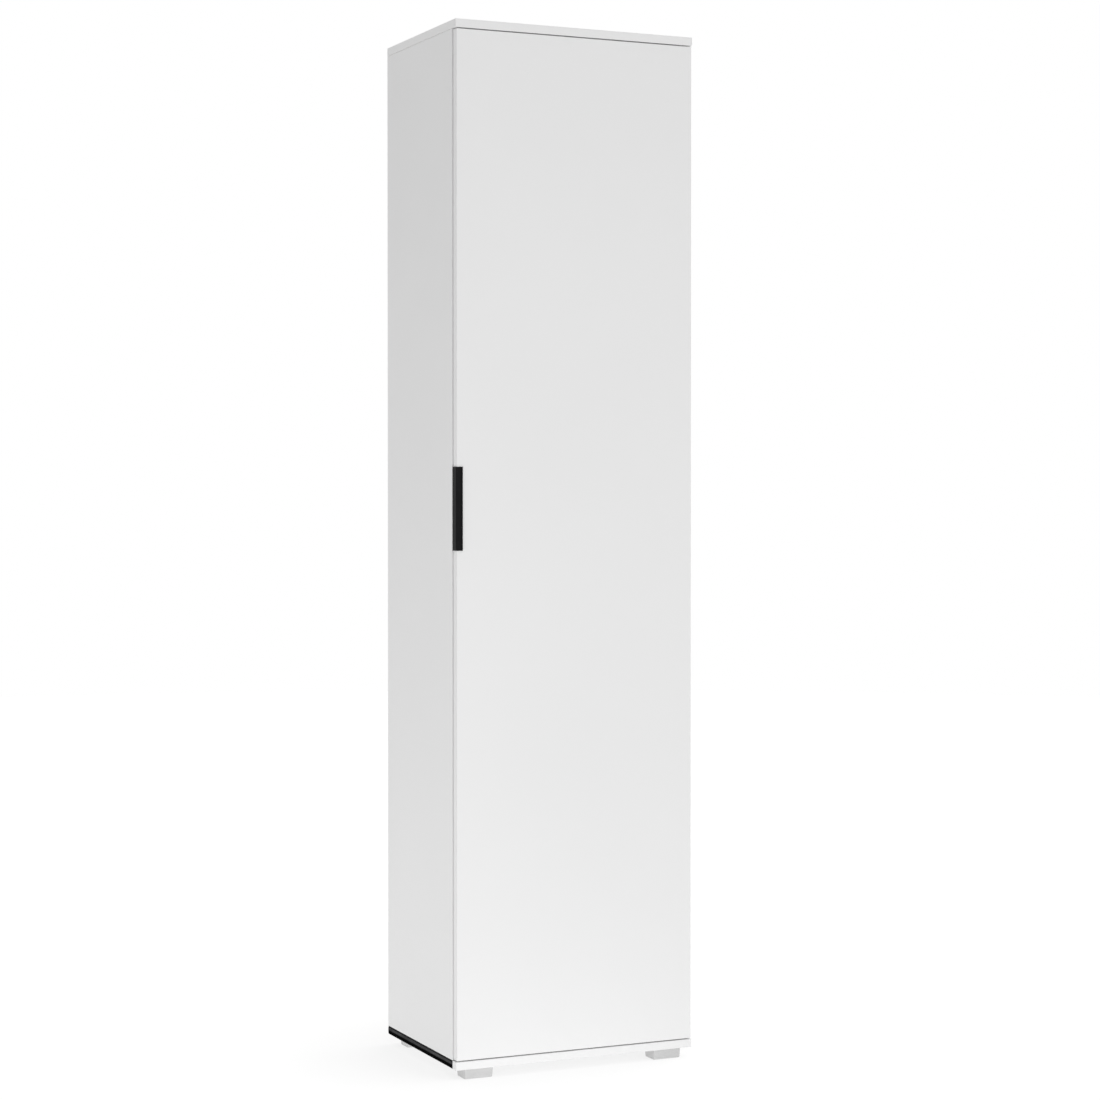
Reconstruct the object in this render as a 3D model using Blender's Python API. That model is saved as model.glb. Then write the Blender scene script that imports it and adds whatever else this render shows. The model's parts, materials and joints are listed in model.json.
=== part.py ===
"""A tall cupboard: a board carcass on four feet, five shelves and one overlay door on concealed hinges.

Metres, +Z up. The origin is on the floor under the middle of the cupboard, and the door faces -Y.
The door hinges on the right. It opens as a positive turn about +Z.
"""

import math

import bmesh
import bpy
from mathutils import Matrix, Vector

# Outside of the cupboard
WIDTH = 0.500
DEPTH = 0.360
HEIGHT = 2.000
FOOT_HEIGHT = 0.020

# Boards
BOARD = 0.016
SHELF_THICKNESS = 0.016
DOOR_THICKNESS = 0.016
BACK_THICKNESS = 0.003
BROKEN_EDGE = 0.0006

# Clearances
TOUCH = 0.0003
DOOR_STANDOFF = 0.002
DOOR_SIDE_INSET = 0.002
DOOR_END_GAP = 0.002
SHELF_END_CLEARANCE = 0.001
SHELF_REAR_CLEARANCE = 0.0035
RUNNING = 0.00015

# Grooves that hold the back
GROOVE_DEPTH = 0.006
GROOVE_FROM_REAR = 0.010
BACK_PROFILE_FLANGE = 0.018
BACK_PROFILE_WALL = 0.0012
BACK_PROFILE_WEB = 0.0016

# Shelves and their pins
FIXED_SHELF_HEIGHT = 1.010
FIXED_SHELF_SETBACK = 0.002
LOOSE_SHELF_SETBACK = 0.018
LOOSE_SHELVES_PER_HALF = 2
PIN_RADIUS = 0.0024
PIN_HOLE_RADIUS = 0.0025
PIN_HOLE_DEPTH = 0.009
PIN_HEAD_RADIUS = 0.0034
PIN_HEAD_LENGTH = 0.008
PIN_CHAMFER = 0.0005
PIN_SIDES = 12
PIN_HOLE_PITCH = 0.032
PIN_FROM_SHELF_EDGE = 0.037

# Crowned strips on the ends of the bottom panel
STRIP_BASE = 0.0018
STRIP_CROWN = 0.0010
STRIP_CROWN_POWER = 2.5
STRIP_LINE_HEIGHT = 0.0098
STRIP_LINE_WIDTH = 0.0012
STRIP_LINE_DEPTH = 0.0003

# Feet
FOOT_WIDTH = 0.060
FOOT_DEPTH = 0.040
FOOT_SIDE_INSET = 0.020
FRONT_FOOT_INSET = 0.007
REAR_FOOT_INSET = 0.014
FOOT_DRAFT = 0.0012
FOOT_CORNER = 0.0030
FOOT_CORNER_STEPS = 4
FOOT_EDGE = 0.0008
FOOT_NAIL_RADIUS = 0.0040
FOOT_NAIL_DEPTH = 0.012
FOOT_NAIL_SPACING = 0.034

# Pull on the free edge of the door
HANDLE_LENGTH = 0.158
HANDLE_CENTRE = 1.0805
HANDLE_WALL = 0.0015
HANDLE_FRONT_LEG = 0.0135
HANDLE_REAR_LEG = 0.026
HANDLE_REAR_WALL = 0.0010
HANDLE_BEAD_RADIUS = 0.0016
HANDLE_CORNER = 0.0018
HANDLE_SCREW_SPACING = 0.096
HANDLE_SCREW_FROM_EDGE = 0.0205
SCREW_SHANK_RADIUS = 0.0015
SCREW_HEAD_RADIUS = 0.0033
SCREW_HEAD_HEIGHT = 0.0022
SCREW_LENGTH = 0.011
SCREW_POINT = 0.002
SCREW_TIP_RADIUS = 0.0005
SCREW_SIDES = 16
SCREW_CLEARANCE = 0.0002

# Bumpers on the free side of the carcass
BUMPER_RADIUS = 0.004
BUMPER_FROM_END = 0.120

# Anti-tip angle under the top panel
BRACKET_WIDTH = 0.040
BRACKET_LEG = 0.030
BRACKET_WALL = 0.002
BRACKET_BEND = 0.003
BRACKET_BEND_STEPS = 5
BRACKET_HOLE_RADIUS = 0.0027
BRACKET_HOLE_FROM_BEND = 0.018

# Hinges: heights, the cup, the mounting plate and the arm
HINGE_FROM_DOOR_END = 0.100
MIDDLE_HINGE_ABOVE_SHELF = 0.080
CUP_BORE_RADIUS = 0.0175
CUP_BORE_DEPTH = 0.012
CUP_FROM_DOOR_EDGE = 0.0045
CUP_WALL = 0.0010
CUP_FLANGE = 0.0012
CUP_FLANGE_LAP = 0.0011
CUP_SIDES = 36
CUP_NOTCH_FROM = 0.0125
CUP_NOTCH_DEPTH = 0.0018
CUP_NOTCH_HALF_HEIGHT = 0.0060
CUP_WING_OFFSET = -0.0095
CUP_WING_HALF_WIDTH = 0.0060
CUP_WING_SCREW = 0.024
CUP_WING_END = 0.0060
PLATE_SETBACK = 0.037
PLATE_SCREW = 0.016
PLATE_END = 0.010
PLATE_HALF_WIDTH = 0.006
PLATE_THICKNESS = 0.0020
RIDGE_HEIGHT = 0.0210
RIDGE_HALF_WIDTH = 0.0049
RIDGE_FRONT = 0.012
RIDGE_REAR = 0.020
ARM_CHANNEL = 0.0052
ARM_WALL = 0.0012
ARM_TAIL = 0.022
ARM_PANEL_EDGE = 0.008
ARM_KNEE = 0.0052
ARM_SCREW_RADIUS = 0.0032
PIN_SHANK = 0.0010
CUP_PIN_SHANK = 0.0008
RIVET_END = 0.0004

# Hinge pins seen from above, from the cup's axis at the back of the door: across, then away from the door
ARM_PIN_REAR = Vector((-0.0185, 0.0202))
ARM_PIN_NOSE = Vector((-0.0118, -0.0068))
CUP_PIN_EDGE = Vector((0.0130, -0.0020))
CUP_PIN_INNER = Vector((0.0087, -0.0049))

# Links: the outer one is a fork, and the inner one runs between its cheeks
EYE_RADIUS = 0.0023
OUTER_EYE_RADIUS = 0.0020
LINK_HALF_WIDTH = 0.0016
OUTER_LINK_HALF_HEIGHT = 0.0046
OUTER_LINK_SLOT = 0.0034
OUTER_LINK_SLOT_REACH = 0.010
OUTER_LINK_SOLID = 0.008
OUTER_LINK_BEND_AT = 0.030
OUTER_LINK_BEND = -0.0066
INNER_LINK_HALF_HEIGHT = 0.0030
INNER_BARREL_HALF_HEIGHT = 0.0050
OPEN_EYE_TRAVEL = 0.00112
OPEN_EYE_BORE = 0.00135
OPEN_EYE_WALL = 0.0005

# Materials: colour, roughness, metallic
WHITE_MELAMINE = ("white_melamine", (0.80, 0.80, 0.80), 0.38, 0.0)
WHITE_HARDBOARD = ("white_hardboard", (0.76, 0.75, 0.73), 0.55, 0.0)
BLACK_PLASTIC = ("black_plastic", (0.018, 0.018, 0.019), 0.36, 0.0)
GREY_PLASTIC = ("grey_plastic", (0.52, 0.52, 0.51), 0.50, 0.0)
BLACK_METAL = ("black_metal", (0.022, 0.022, 0.023), 0.34, 0.4)
NICKEL = ("nickel_steel", (0.60, 0.59, 0.56), 0.28, 1.0)
ZINC = ("zinc_steel", (0.55, 0.56, 0.57), 0.35, 1.0)
CLEAR_RUBBER = ("pale_rubber", (0.70, 0.70, 0.68), 0.45, 0.0)

# Planes that the pieces share
SIDE_OUT = WIDTH / 2
SIDE_IN = SIDE_OUT - BOARD
DOOR_FRONT = -DEPTH / 2
DOOR_BACK = DOOR_FRONT + DOOR_THICKNESS
CARCASS_FRONT = DOOR_BACK + DOOR_STANDOFF
REAR = DEPTH / 2
BASE_BOTTOM = FOOT_HEIGHT
BASE_TOP = BASE_BOTTOM + BOARD
CEILING = HEIGHT - BOARD
DOOR_RIGHT = SIDE_OUT - DOOR_SIDE_INSET
DOOR_LEFT = -DOOR_RIGHT
DOOR_BOTTOM = BASE_TOP + DOOR_END_GAP
DOOR_TOP = CEILING - DOOR_END_GAP
GROOVE_REAR = REAR - GROOVE_FROM_REAR
BACK_REAR = GROOVE_REAR - TOUCH
BACK_FRONT = BACK_REAR - BACK_THICKNESS
GROOVE_FRONT = BACK_FRONT - TOUCH
GROOVE_HALF_WIDTH = SIDE_IN + GROOVE_DEPTH
STRIP_WIDTH = STRIP_BASE + STRIP_CROWN
SHELF_REAR = BACK_FRONT - SHELF_REAR_CLEARANCE
FIXED_SHELF_BOTTOM = FIXED_SHELF_HEIGHT - SHELF_THICKNESS / 2
FIXED_SHELF_TOP = FIXED_SHELF_BOTTOM + SHELF_THICKNESS
CUP_AXIS = DOOR_RIGHT - CUP_FROM_DOOR_EDGE - CUP_BORE_RADIUS
PANEL_FACE = SIDE_IN - CUP_AXIS
CUT_OVERRUN = 0.002


def clear_scene():
    for obj in list(bpy.data.objects):
        bpy.data.objects.remove(obj, do_unlink=True)


def material(spec):
    name, colour, roughness, metallic = spec
    found = bpy.data.materials.get(name)
    if found:
        return found
    made = bpy.data.materials.new(name)
    made.use_nodes = True
    made.diffuse_color = (*colour, 1.0)
    shader = made.node_tree.nodes["Principled BSDF"]
    shader.inputs["Base Color"].default_value = (*colour, 1.0)
    shader.inputs["Roughness"].default_value = roughness
    shader.inputs["Metallic"].default_value = metallic
    return made


def finish_mesh(bm, name, smooth=False):
    """Turns the bmesh into a mesh with outward faces, smooth over round stretches if asked."""
    bmesh.ops.recalc_face_normals(bm, faces=bm.faces)
    mesh = bpy.data.meshes.new(name)
    bm.to_mesh(mesh)
    bm.free()
    if smooth:
        shade_round(mesh)
    return mesh


def shade_round(mesh):
    mesh.shade_smooth()
    mesh.set_sharp_from_angle(angle=math.radians(35))


def place(name, mesh, spec, location=(0, 0, 0), parent=None):
    obj = bpy.data.objects.new(name, mesh)
    bpy.context.scene.collection.objects.link(obj)
    if spec and not mesh.materials:
        mesh.materials.append(material(spec))
    obj.location = Vector(location)
    if parent:
        obj.parent = parent
        obj.location -= world_place(parent)
    return obj


def world_place(obj):
    """Where the object's origin is. The objects that have children aren't turned."""
    return obj.location + world_place(obj.parent) if obj.parent else obj.location.copy()


def add_block(bm, low, high):
    size = Vector(high) - Vector(low)
    centre = (Vector(high) + Vector(low)) / 2
    matrix = Matrix.Translation(centre) @ Matrix.Diagonal((*size, 1.0))
    bmesh.ops.create_cube(bm, size=1.0, matrix=matrix)


def add_cylinder(bm, centre, radius, low, high, axis="Z", sides=20):
    """A round bar along an axis. Centre holds the two coordinates across the axis, in X, Y, Z order."""
    along = "XYZ".index(axis)
    across = [i for i in range(3) if i != along]
    middle = Vector((0, 0, 0))
    middle[along] = (low + high) / 2
    middle[across[0]], middle[across[1]] = centre
    quarter = math.pi / 2
    turn = {"X": Matrix.Rotation(quarter, 4, "Y"), "Y": Matrix.Rotation(quarter, 4, "X"), "Z": Matrix()}
    bmesh.ops.create_cone(
        bm, cap_ends=True, segments=sides, radius1=radius, radius2=radius, depth=high - low,
        matrix=Matrix.Translation(middle) @ turn[axis],
    )


def add_prism(bm, outline, low, high, axis="Z"):
    """Extrudes a closed outline along an axis. Outline points are in X, Y, Z order without that axis."""
    along = "XYZ".index(axis)
    across = [i for i in range(3) if i != along]

    def ring(level):
        points = []
        for a, b in outline:
            point = [0.0, 0.0, 0.0]
            point[along] = level
            point[across[0]] = a
            point[across[1]] = b
            points.append(bm.verts.new(point))
        return points

    near = ring(low)
    far = ring(high)
    bm.faces.new(near)
    bm.faces.new(reversed(far))
    for i in range(len(outline)):
        j = (i + 1) % len(outline)
        bm.faces.new((near[j], near[i], far[i], far[j]))


def add_turned(bm, profile, sides, matrix=None):
    """Revolves (radius, height) points about +Z. The first and last points lie on the axis."""
    rings = []
    for radius, height in profile:
        if radius == 0:
            rings.append([bm.verts.new((0, 0, height))])
            continue
        angles = [2 * math.pi * i / sides for i in range(sides)]
        rings.append([bm.verts.new((radius * math.cos(a), radius * math.sin(a), height)) for a in angles])
    for lower, upper in zip(rings, rings[1:]):
        for i in range(sides):
            j = (i + 1) % sides
            corners = [lower[i % len(lower)], lower[j % len(lower)]]
            corners += [upper[j % len(upper)], upper[i % len(upper)]]
            bm.faces.new(list(dict.fromkeys(corners)))
    if matrix:
        verts = [v for ring in rings for v in ring]
        bmesh.ops.transform(bm, matrix=matrix, verts=verts)


def arc(centre, radius, start, end, steps):
    """Points on an arc, angles in degrees."""
    points = []
    for i in range(steps + 1):
        angle = math.radians(start + (end - start) * i / steps)
        points.append((centre[0] + radius * math.cos(angle), centre[1] + radius * math.sin(angle)))
    return points


def cut(target, name, build):
    """Takes a shape out of the target. The shape is a hidden wire object that moves with it."""
    bm = bmesh.new()
    build(bm)
    bmesh.ops.translate(bm, vec=-world_place(target), verts=bm.verts)
    cutter = place(f"{name}_cutter", finish_mesh(bm, name), None, world_place(target), target)
    cutter.hide_render = True
    cutter.display_type = "WIRE"
    modifier = target.modifiers.new(name, "BOOLEAN")
    modifier.operation = "DIFFERENCE"
    modifier.object = cutter


def carved(name, solids, voids):
    """One mesh from solids joined and voids taken out. Each is a function that fills a bmesh."""
    helpers = []
    for i, build in enumerate([*solids, *voids]):
        bm = bmesh.new()
        build(bm)
        helper = place(f"{name}_step_{i}", finish_mesh(bm, f"{name}_step_{i}"), None)
        helpers.append(helper)
    base = helpers[0]
    for i, helper in enumerate(helpers[1:], 1):
        modifier = base.modifiers.new(f"step_{i}", "BOOLEAN")
        modifier.operation = "UNION" if i < len(solids) else "DIFFERENCE"
        modifier.object = helper
    bpy.context.view_layer.update()
    graph = bpy.context.evaluated_depsgraph_get()
    mesh = bpy.data.meshes.new_from_object(base.evaluated_get(graph))
    mesh.name = name
    mesh.materials.clear()
    shade_round(mesh)
    for helper in helpers:
        bpy.data.objects.remove(helper, do_unlink=True)
    return mesh


def board(name, low, high, spec=WHITE_MELAMINE, parent=None):
    """A board with its edges just broken, set at its own middle."""
    half = (Vector(high) - Vector(low)) / 2
    bm = bmesh.new()
    add_block(bm, -half, half)
    obj = place(name, finish_mesh(bm, name), spec, Vector(low) + half, parent)
    bevel = obj.modifiers.new("broken_edges", "BEVEL")
    bevel.width = BROKEN_EDGE
    bevel.segments = 1
    bevel.limit_method = "NONE"
    return obj


def loose_shelf_bottoms():
    """The undersides of the loose shelves, evenly spaced above and below the fixed one."""
    bottoms = []
    for low, high in ((BASE_TOP, FIXED_SHELF_BOTTOM), (FIXED_SHELF_TOP, CEILING)):
        count = LOOSE_SHELVES_PER_HALF
        space = (high - low - count * SHELF_THICKNESS) / (count + 1)
        for i in range(count):
            bottoms.append(low + (i + 1) * space + i * SHELF_THICKNESS)
    return bottoms


def pin_height(shelf_bottom):
    return shelf_bottom - TOUCH - PIN_HEAD_RADIUS


def pin_depths():
    front = CARCASS_FRONT + LOOSE_SHELF_SETBACK + PIN_FROM_SHELF_EDGE
    rear = SHELF_REAR - PIN_FROM_SHELF_EDGE
    return front, rear


def side_panel(name, side):
    """Side is -1 for the left panel and 1 for the right one."""
    across = sorted((side * SIDE_IN, side * SIDE_OUT))
    panel = board(name, (across[0], CARCASS_FRONT, BASE_TOP + TOUCH), (across[1], REAR, CEILING - TOUCH))

    def groove(bm):
        ends = sorted((side * GROOVE_HALF_WIDTH, side * (SIDE_IN - CUT_OVERRUN)))
        low = (ends[0], GROOVE_FRONT, BASE_TOP - CUT_OVERRUN)
        add_block(bm, low, (ends[1], GROOVE_REAR, CEILING + CUT_OVERRUN))

    def pin_holes(bm):
        ends = sorted((side * (SIDE_IN + PIN_HOLE_DEPTH), side * (SIDE_IN - CUT_OVERRUN)))
        for bottom in loose_shelf_bottoms():
            for depth in pin_depths():
                for step in (-1, 0, 1):
                    height = pin_height(bottom) + step * PIN_HOLE_PITCH
                    add_cylinder(bm, (depth, height), PIN_HOLE_RADIUS, *ends, "X", PIN_SIDES)

    cut(panel, f"{name}_groove", groove)
    cut(panel, f"{name}_pin_holes", pin_holes)
    return panel


def top_panel():
    """The top runs forward over the door. Under it are the back's groove and a pilot hole for the angle."""
    panel = board("top_panel", (-SIDE_OUT, DOOR_FRONT, CEILING), (SIDE_OUT, REAR, HEIGHT))

    def groove(bm):
        low = (-GROOVE_HALF_WIDTH, GROOVE_FRONT, CEILING - CUT_OVERRUN)
        add_block(bm, low, (GROOVE_HALF_WIDTH, GROOVE_REAR, CEILING + GROOVE_DEPTH))

    def pilot(bm):
        radius = SCREW_SHANK_RADIUS + SCREW_CLEARANCE
        tip = CEILING + SCREW_LENGTH - BRACKET_WALL + SCREW_CLEARANCE
        add_cylinder(bm, bracket_screw_place(), radius, CEILING - CUT_OVERRUN, tip, "Z", PIN_SIDES)

    cut(panel, "top_groove", groove)
    cut(panel, "top_pilot", pilot)


def base_panels():
    """The bottom panel ends short of the sides for the strips, and a rail closes the door's plane."""
    half = SIDE_OUT - STRIP_WIDTH - TOUCH
    panel = board("bottom_panel", (-half, CARCASS_FRONT, BASE_BOTTOM), (half, REAR, BASE_TOP))

    def groove(bm):
        low = (-GROOVE_HALF_WIDTH, GROOVE_FRONT, BASE_TOP - GROOVE_DEPTH)
        add_block(bm, low, (GROOVE_HALF_WIDTH, GROOVE_REAR, BASE_TOP + CUT_OVERRUN))

    cut(panel, "bottom_groove", groove)
    rail_rear = CARCASS_FRONT - TOUCH
    board("bottom_front_rail", (-SIDE_OUT, DOOR_FRONT, BASE_BOTTOM), (SIDE_OUT, rail_rear, BASE_TOP))


def base_strip(name, side):
    """A plastic edge with a crowned face and a shallow line pressed along it above its middle."""
    root = SIDE_OUT - STRIP_WIDTH
    line = STRIP_LINE_HEIGHT / BOARD
    half = STRIP_LINE_WIDTH / BOARD / 2
    shares = [0, 0.06, 0.16, 0.32, 0.48, line - half, line, line + half, 0.78, 0.88, 0.95, 1]
    face = []
    for share in shares:
        swell = STRIP_CROWN * (1 - abs(2 * share - 1) ** STRIP_CROWN_POWER)
        pressed = STRIP_LINE_DEPTH if share == line else 0
        face.append((root + STRIP_BASE + swell - pressed, BASE_BOTTOM + share * BOARD))
    outline = [(root, BASE_BOTTOM), *face, (root, BASE_TOP)]
    bm = bmesh.new()
    add_prism(bm, [(side * x, z) for x, z in outline], CARCASS_FRONT, REAR, "Y")
    place(name, finish_mesh(bm, name, True), BLACK_PLASTIC)


def shelves():
    fixed_half = SIDE_IN - TOUCH
    front = CARCASS_FRONT + FIXED_SHELF_SETBACK
    low = (-fixed_half, front, FIXED_SHELF_BOTTOM)
    board("fixed_shelf", low, (fixed_half, SHELF_REAR, FIXED_SHELF_TOP))
    half = SIDE_IN - SHELF_END_CLEARANCE
    front = CARCASS_FRONT + LOOSE_SHELF_SETBACK
    for i, bottom in enumerate(loose_shelf_bottoms(), 1):
        board(f"loose_shelf_{i}", (-half, front, bottom), (half, SHELF_REAR, bottom + SHELF_THICKNESS))


def shelf_pins():
    """Turned pins: a shank in the panel and a thicker head that the shelf rests on. They share one mesh."""
    tip = SCREW_CLEARANCE - PIN_HOLE_DEPTH
    profile = [
        (0, tip), (PIN_RADIUS, tip), (PIN_RADIUS, TOUCH), (PIN_HEAD_RADIUS, TOUCH),
        (PIN_HEAD_RADIUS, PIN_HEAD_LENGTH - PIN_CHAMFER), (PIN_HEAD_RADIUS - PIN_CHAMFER, PIN_HEAD_LENGTH),
        (0, PIN_HEAD_LENGTH),
    ]
    bm = bmesh.new()
    add_turned(bm, profile, PIN_SIDES)
    mesh = finish_mesh(bm, "shelf_pin", True)
    for shelf, bottom in enumerate(loose_shelf_bottoms(), 1):
        for side, word in ((-1, "left"), (1, "right")):
            for end, depth in zip(("front", "rear"), pin_depths()):
                name = f"shelf_pin_{shelf}_{word}_{end}"
                pin = place(name, mesh, NICKEL, (side * SIDE_IN, depth, pin_height(bottom)))
                pin.rotation_euler = (0, -side * math.pi / 2, 0)


def back():
    """Two thin panels in the grooves, joined behind the fixed shelf by a plastic profile of H section."""
    half = GROOVE_HALF_WIDTH - TOUCH
    reach = GROOVE_DEPTH - TOUCH
    rib = BACK_PROFILE_WEB / 2
    joint = FIXED_SHELF_HEIGHT
    lower = (BASE_TOP - reach, joint - rib - TOUCH)
    upper = (joint + rib + TOUCH, CEILING + reach)
    for name, (low, high) in (("back_panel_lower", lower), ("back_panel_upper", upper)):
        bm = bmesh.new()
        size = Vector((half, BACK_THICKNESS / 2, (high - low) / 2))
        add_block(bm, -size, size)
        middle = (0, (BACK_FRONT + BACK_REAR) / 2, (low + high) / 2)
        place(name, finish_mesh(bm, name), WHITE_HARDBOARD, middle)
    flange = BACK_PROFILE_FLANGE / 2
    inner = (BACK_FRONT - TOUCH, BACK_REAR + TOUCH)
    outer = (inner[0] - BACK_PROFILE_WALL, inner[1] + BACK_PROFILE_WALL)
    taper = BACK_PROFILE_WALL * 0.5
    outline = [
        (outer[0] + taper, -flange), (inner[0], -flange), (inner[0], -rib), (inner[1], -rib),
        (inner[1], -flange), (outer[1] - taper, -flange), (outer[1], -flange + 2 * taper),
        (outer[1], flange - 2 * taper), (outer[1] - taper, flange), (inner[1], flange),
        (inner[1], rib), (inner[0], rib), (inner[0], flange), (outer[0] + taper, flange),
        (outer[0], flange - 2 * taper), (outer[0], -flange + 2 * taper),
    ]
    bm = bmesh.new()
    reach = SIDE_IN - TOUCH
    add_prism(bm, outline, -reach, reach, "X")
    place("back_joint_profile", finish_mesh(bm, "back_joint_profile"), BLACK_PLASTIC, (0, 0, joint))


def foot(name, left, front):
    """A moulded block with drafted sides, round corners and two counterbored nail holes underneath."""
    height = BASE_BOTTOM - TOUCH

    def ring(bm, level, inset):
        half = Vector((FOOT_WIDTH / 2 - inset, FOOT_DEPTH / 2 - inset))
        radius = FOOT_CORNER
        points = []
        for start, sx, sy in ((0, 1, 1), (90, -1, 1), (180, -1, -1), (270, 1, -1)):
            centre = (sx * (half.x - radius), sy * (half.y - radius))
            points += arc(centre, radius, start, start + 90, FOOT_CORNER_STEPS)
        return [bm.verts.new((x, y, level)) for x, y in points]

    def body(bm):
        levels = [(0, FOOT_DRAFT + FOOT_EDGE), (FOOT_EDGE, FOOT_DRAFT), (height, 0)]
        rings = [ring(bm, level, inset) for level, inset in levels]
        bm.faces.new(reversed(rings[0]))
        bm.faces.new(rings[-1])
        for lower, upper in zip(rings, rings[1:]):
            for i in range(len(lower)):
                j = (i + 1) % len(lower)
                bm.faces.new((lower[i], lower[j], upper[j], upper[i]))

    def nail_holes(bm):
        for side in (-1, 1):
            centre = (side * FOOT_NAIL_SPACING / 2, 0)
            add_cylinder(bm, centre, FOOT_NAIL_RADIUS, -CUT_OVERRUN, FOOT_NAIL_DEPTH, "Z", 16)

    mesh = bpy.data.meshes.get("foot") or carved("foot", [body], [nail_holes])
    place(name, mesh, GREY_PLASTIC, (left + FOOT_WIDTH / 2, front + FOOT_DEPTH / 2, 0))


def feet():
    fronts = (DOOR_FRONT + FRONT_FOOT_INSET, REAR - REAR_FOOT_INSET - FOOT_DEPTH)
    lefts = (-SIDE_OUT + FOOT_SIDE_INSET, SIDE_OUT - FOOT_SIDE_INSET - FOOT_WIDTH)
    for end, front in zip(("front", "rear"), fronts):
        for side, left in zip(("left", "right"), lefts):
            foot(f"foot_{end}_{side}", left, front)


def bracket_screw_place():
    """Across and along, for the screw that holds the angle's level leg to the top panel."""
    return 0.0, BACK_FRONT - TOUCH - BRACKET_HOLE_FROM_BEND


def anti_tip_bracket():
    """A steel angle under the top panel, against the back."""
    rear = BACK_FRONT - TOUCH
    top = CEILING - TOUCH
    half = BRACKET_WIDTH / 2
    outside = BRACKET_BEND + BRACKET_WALL

    def section(bm):
        centre = (rear - outside, top - outside)
        outline = [(rear - BRACKET_LEG, top), *arc(centre, outside, 90, 0, BRACKET_BEND_STEPS)]
        outline += [(rear, top - BRACKET_LEG), (rear - BRACKET_WALL, top - BRACKET_LEG)]
        outline += arc(centre, BRACKET_BEND, 0, 90, BRACKET_BEND_STEPS)
        outline.append((rear - BRACKET_LEG, top - BRACKET_WALL))
        add_prism(bm, outline, -half, half, "X")

    def level_hole(bm):
        low = top - BRACKET_WALL - CUT_OVERRUN
        radius = SCREW_SHANK_RADIUS + SCREW_CLEARANCE
        add_cylinder(bm, bracket_screw_place(), radius, low, top + CUT_OVERRUN, "Z", 16)

    def wall_hole(bm):
        centre = (0, top - BRACKET_HOLE_FROM_BEND)
        low = rear - BRACKET_WALL - CUT_OVERRUN
        add_cylinder(bm, centre, BRACKET_HOLE_RADIUS, low, rear + CUT_OVERRUN, "Y", 20)

    mesh = carved("anti_tip_bracket", [section], [level_hole, wall_hole])
    place("anti_tip_bracket", mesh, ZINC)
    x, y = bracket_screw_place()
    seat = top - BRACKET_WALL - TOUCH
    place("bracket_screw", screw_mesh(), NICKEL, (x, y, seat))


def screw_mesh():
    """A pan-head screw along +Z, with its head under the origin. Threads are left plain."""
    found = bpy.data.meshes.get("screw")
    if found:
        return found
    profile = [
        (0, -SCREW_HEAD_HEIGHT), (SCREW_HEAD_RADIUS * 0.6, -SCREW_HEAD_HEIGHT),
        (SCREW_HEAD_RADIUS * 0.92, -SCREW_HEAD_HEIGHT * 0.6), (SCREW_HEAD_RADIUS, 0),
        (SCREW_SHANK_RADIUS, 0), (SCREW_SHANK_RADIUS, SCREW_LENGTH - SCREW_POINT),
        (SCREW_TIP_RADIUS, SCREW_LENGTH), (0, SCREW_LENGTH),
    ]
    bm = bmesh.new()
    add_turned(bm, profile, SCREW_SIDES)
    return finish_mesh(bm, "screw", True)


def bumpers():
    """Soft dots on the free side panel's front edge, which the door closes against."""
    height = DOOR_STANDOFF - 2 * TOUCH
    profile = [
        (0, 0), (BUMPER_RADIUS, 0), (BUMPER_RADIUS, height * 0.4),
        (BUMPER_RADIUS * 0.75, height * 0.85), (BUMPER_RADIUS * 0.35, height), (0, height),
    ]
    bm = bmesh.new()
    add_turned(bm, profile, 16, Matrix.Rotation(math.pi / 2, 4, "X"))
    mesh = finish_mesh(bm, "bumper", True)
    levels = (BASE_TOP + BUMPER_FROM_END, CEILING - BUMPER_FROM_END)
    for name, level in zip(("bumper_lower", "bumper_upper"), levels):
        place(name, mesh, CLEAR_RUBBER, (-SIDE_OUT + BOARD / 2, CARCASS_FRONT - TOUCH, level))


def hinge_heights():
    middle = FIXED_SHELF_HEIGHT + MIDDLE_HINGE_ABOVE_SHELF
    return DOOR_BOTTOM + HINGE_FROM_DOOR_END, middle, DOOR_TOP - HINGE_FROM_DOOR_END


def handle_screw_heights():
    half = HANDLE_SCREW_SPACING / 2
    return HANDLE_CENTRE - half, HANDLE_CENTRE + half


def door(pivot):
    low = (DOOR_LEFT, DOOR_FRONT, DOOR_BOTTOM)
    high = (DOOR_RIGHT, DOOR_BACK, DOOR_TOP)
    panel = board("door_panel", low, high, parent=pivot)

    def cup_bores(bm):
        ends = (DOOR_BACK - CUP_BORE_DEPTH, DOOR_BACK + CUT_OVERRUN)
        for height in hinge_heights():
            add_cylinder(bm, (CUP_AXIS, height), CUP_BORE_RADIUS, *ends, "Y", CUP_SIDES)

    def pilot_holes(bm):
        tip = handle_screw_seat() - SCREW_LENGTH - SCREW_CLEARANCE
        radius = SCREW_SHANK_RADIUS + SCREW_CLEARANCE
        for height in handle_screw_heights():
            across = DOOR_LEFT + HANDLE_SCREW_FROM_EDGE
            add_cylinder(bm, (across, height), radius, tip, DOOR_BACK + CUT_OVERRUN, "Y", PIN_SIDES)

    cut(panel, "door_cup_bores", cup_bores)
    cut(panel, "door_pilot_holes", pilot_holes)


def handle_screw_seat():
    """Where the screw heads bear, on the rear leg of the pull."""
    return DOOR_BACK + TOUCH + HANDLE_REAR_WALL + TOUCH


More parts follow.
